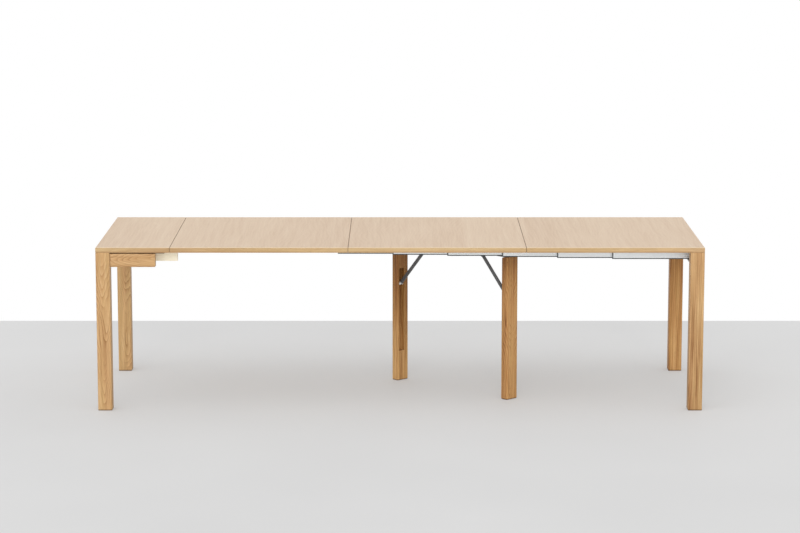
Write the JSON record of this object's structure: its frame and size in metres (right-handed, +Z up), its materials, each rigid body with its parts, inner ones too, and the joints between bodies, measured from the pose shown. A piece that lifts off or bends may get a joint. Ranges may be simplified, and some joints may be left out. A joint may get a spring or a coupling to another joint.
{
  "type": "extendable console table",
  "caption": "Wooden console table drawn out to full length on telescopic rails, with loose leaves on top and folding middle legs on a swivel bar.",
  "frame": {"origin": "middle of the extended table's footprint, on the floor", "axes": "+X along the table towards the end that pulls out, -Y towards the front, +Z up"},
  "size_m": [2.75, 0.95, 0.75],
  "materials": {
    "oak_top": "oiled oak",
    "oak_frame": "oiled oak",
    "oak_mid_leg": "oiled oak",
    "pale_wood": "unfinished",
    "dowel_wood": "unfinished",
    "rail_aluminium": "satin anodised",
    "cap_plastic": "matte",
    "dark_steel": "dark grey lacquer",
    "bright_steel": "zinc plated"
  },
  "bodies": {
    "left_frame": {"left_top": "oak_top", "left_leg_front": "oak_frame", "left_leg_rear": "oak_frame", "left_apron_front": "oak_frame", "left_apron_rear": "oak_frame", "left_end_rail": "oak_frame", "guide_front": "pale_wood", "guide_rear": "pale_wood", "left_screws": "bright_steel", "rail_0_front": "rail_aluminium", "rail_0_rear": "rail_aluminium"},
    "stage_1": {"rail_1_front": "rail_aluminium", "rail_1_rear": "rail_aluminium", "caps_1": "cap_plastic"},
    "stage_2": {"rail_2_front": "rail_aluminium", "rail_2_rear": "rail_aluminium", "caps_2": "cap_plastic"},
    "stage_3": {"rail_3_front": "rail_aluminium", "rail_3_rear": "rail_aluminium", "caps_3": "cap_plastic"},
    "stage_4": {"rail_4_front": "rail_aluminium", "rail_4_rear": "rail_aluminium", "caps_4": "cap_plastic"},
    "stage_5": {"rail_5_front": "rail_aluminium", "rail_5_rear": "rail_aluminium", "caps_5": "cap_plastic"},
    "stage_6": {"rail_6_front": "rail_aluminium", "rail_6_rear": "rail_aluminium", "caps_6": "cap_plastic", "rail_tie": "dark_steel", "swivel_spacer": "cap_plastic", "swivel_bolt": "bright_steel"},
    "stage_7": {"rail_7_front": "rail_aluminium", "rail_7_rear": "rail_aluminium", "caps_7": "cap_plastic"},
    "stage_8": {"rail_8_front": "rail_aluminium", "rail_8_rear": "rail_aluminium", "caps_8": "cap_plastic"},
    "right_frame": {"right_leg_front": "oak_frame", "right_leg_rear": "oak_frame", "right_end_rail": "oak_frame", "right_screws": "bright_steel", "rail_9_front": "rail_aluminium", "rail_9_rear": "rail_aluminium", "caps_9": "cap_plastic"},
    "leg_bar": {"leg_bar": "dark_steel", "brace_pivot_front": "bright_steel", "brace_pivot_rear": "bright_steel"},
    "mid_leg_front": {"mid_leg_front": "oak_mid_leg", "hinge_pin_front": "bright_steel"},
    "brace_front": {"brace_front": "dark_steel", "slide_pin_front": "bright_steel"},
    "mid_leg_rear": {"mid_leg_rear": "oak_mid_leg", "hinge_pin_rear": "bright_steel"},
    "brace_rear": {"brace_rear": "dark_steel", "slide_pin_rear": "bright_steel"},
    "leaf_1": {"leaf_1": "oak_top"},
    "leaf_2": {"leaf_2": "oak_top", "leaf_dowels": "dowel_wood"},
    "leaf_3": {"leaf_3": "oak_top"}
  },
  "joints": [
    {"name": "extension", "type": "slide", "parent": "left_frame", "child": "right_frame", "axis": [-1, 0, 0], "range_m": [0, 2.321]},
    {"name": "stage_1_slide", "type": "slide", "parent": "left_frame", "child": "stage_1", "axis": [-1, 0, 0], "range_m": [0, 0.2585]},
    {"name": "stage_2_slide", "type": "slide", "parent": "left_frame", "child": "stage_2", "axis": [-1, 0, 0], "range_m": [0, 0.5305]},
    {"name": "stage_3_slide", "type": "slide", "parent": "left_frame", "child": "stage_3", "axis": [-1, 0, 0], "range_m": [0, 0.8025]},
    {"name": "stage_4_slide", "type": "slide", "parent": "left_frame", "child": "stage_4", "axis": [-1, 0, 0], "range_m": [0, 1.0535]},
    {"name": "stage_5_slide", "type": "slide", "parent": "left_frame", "child": "stage_5", "axis": [-1, 0, 0], "range_m": [0, 1.3045]},
    {"name": "stage_6_slide", "type": "slide", "parent": "left_frame", "child": "stage_6", "axis": [-1, 0, 0], "range_m": [0, 1.5275]},
    {"name": "stage_7_slide", "type": "slide", "parent": "left_frame", "child": "stage_7", "axis": [-1, 0, 0], "range_m": [0, 1.8065]},
    {"name": "stage_8_slide", "type": "slide", "parent": "left_frame", "child": "stage_8", "axis": [-1, 0, 0], "range_m": [0, 2.0575]},
    {"name": "bar_swivel", "type": "hinge", "parent": "stage_6", "child": "leg_bar", "pos_m": [0.253, 0, 0.6668], "axis": [0, 0, -1], "range_deg": [0, 43.02]},
    {"name": "leaf_1_lift", "type": "slide", "parent": "left_frame", "child": "leaf_1", "axis": [0, 0, 1], "range_m": [0, 0.421]},
    {"name": "leaf_2_lift", "type": "slide", "parent": "left_frame", "child": "leaf_2", "axis": [0, 0, 1], "range_m": [0, 0.421]},
    {"name": "leaf_3_lift", "type": "slide", "parent": "left_frame", "child": "leaf_3", "axis": [0, 0, 1], "range_m": [0, 0.421]},
    {"name": "leg_fold_front", "type": "hinge", "parent": "leg_bar", "child": "mid_leg_front", "pos_m": [0.506, -0.218, 0.6413], "axis": [0.7316, 0.6817, 0], "range_deg": [0, 90]},
    {"name": "brace_turn_front", "type": "hinge", "parent": "leg_bar", "child": "brace_front", "pos_m": [0.38466, -0.08777, 0.6558], "axis": [0.7316, 0.6817, 0], "range_deg": [0, 130.96]},
    {"name": "leg_fold_rear", "type": "hinge", "parent": "leg_bar", "child": "mid_leg_rear", "pos_m": [0, 0.218, 0.6413], "axis": [-0.7316, -0.6817, 0], "range_deg": [0, 90]},
    {"name": "brace_turn_rear", "type": "hinge", "parent": "leg_bar", "child": "brace_rear", "pos_m": [0.12134, 0.08777, 0.6558], "axis": [-0.7316, -0.6817, 0], "range_deg": [0, 130.96]}
  ],
  "couplings": [
    {"joint": "stage_1_slide", "follows": "extension", "ratio": 0.11116},
    {"joint": "stage_2_slide", "follows": "extension", "ratio": 0.22835},
    {"joint": "stage_3_slide", "follows": "extension", "ratio": 0.34554},
    {"joint": "stage_4_slide", "follows": "extension", "ratio": 0.45368},
    {"joint": "stage_5_slide", "follows": "extension", "ratio": 0.56183},
    {"joint": "stage_6_slide", "follows": "extension", "ratio": 0.65791},
    {"joint": "stage_7_slide", "follows": "extension", "ratio": 0.77811},
    {"joint": "stage_8_slide", "follows": "extension", "ratio": 0.88626},
    {"joint": "bar_swivel", "follows": "extension", "rad_per_m": 0.32316},
    {"joint": "leaf_1_lift", "follows": "extension", "ratio": 0.18096},
    {"joint": "leaf_2_lift", "follows": "extension", "ratio": 0.18096},
    {"joint": "leaf_3_lift", "follows": "extension", "ratio": 0.18096},
    {"joint": "brace_turn_front", "follows": "leg_fold_front", "ratio": 1.454},
    {"joint": "brace_turn_rear", "follows": "leg_fold_rear", "ratio": 1.454}
  ]
}
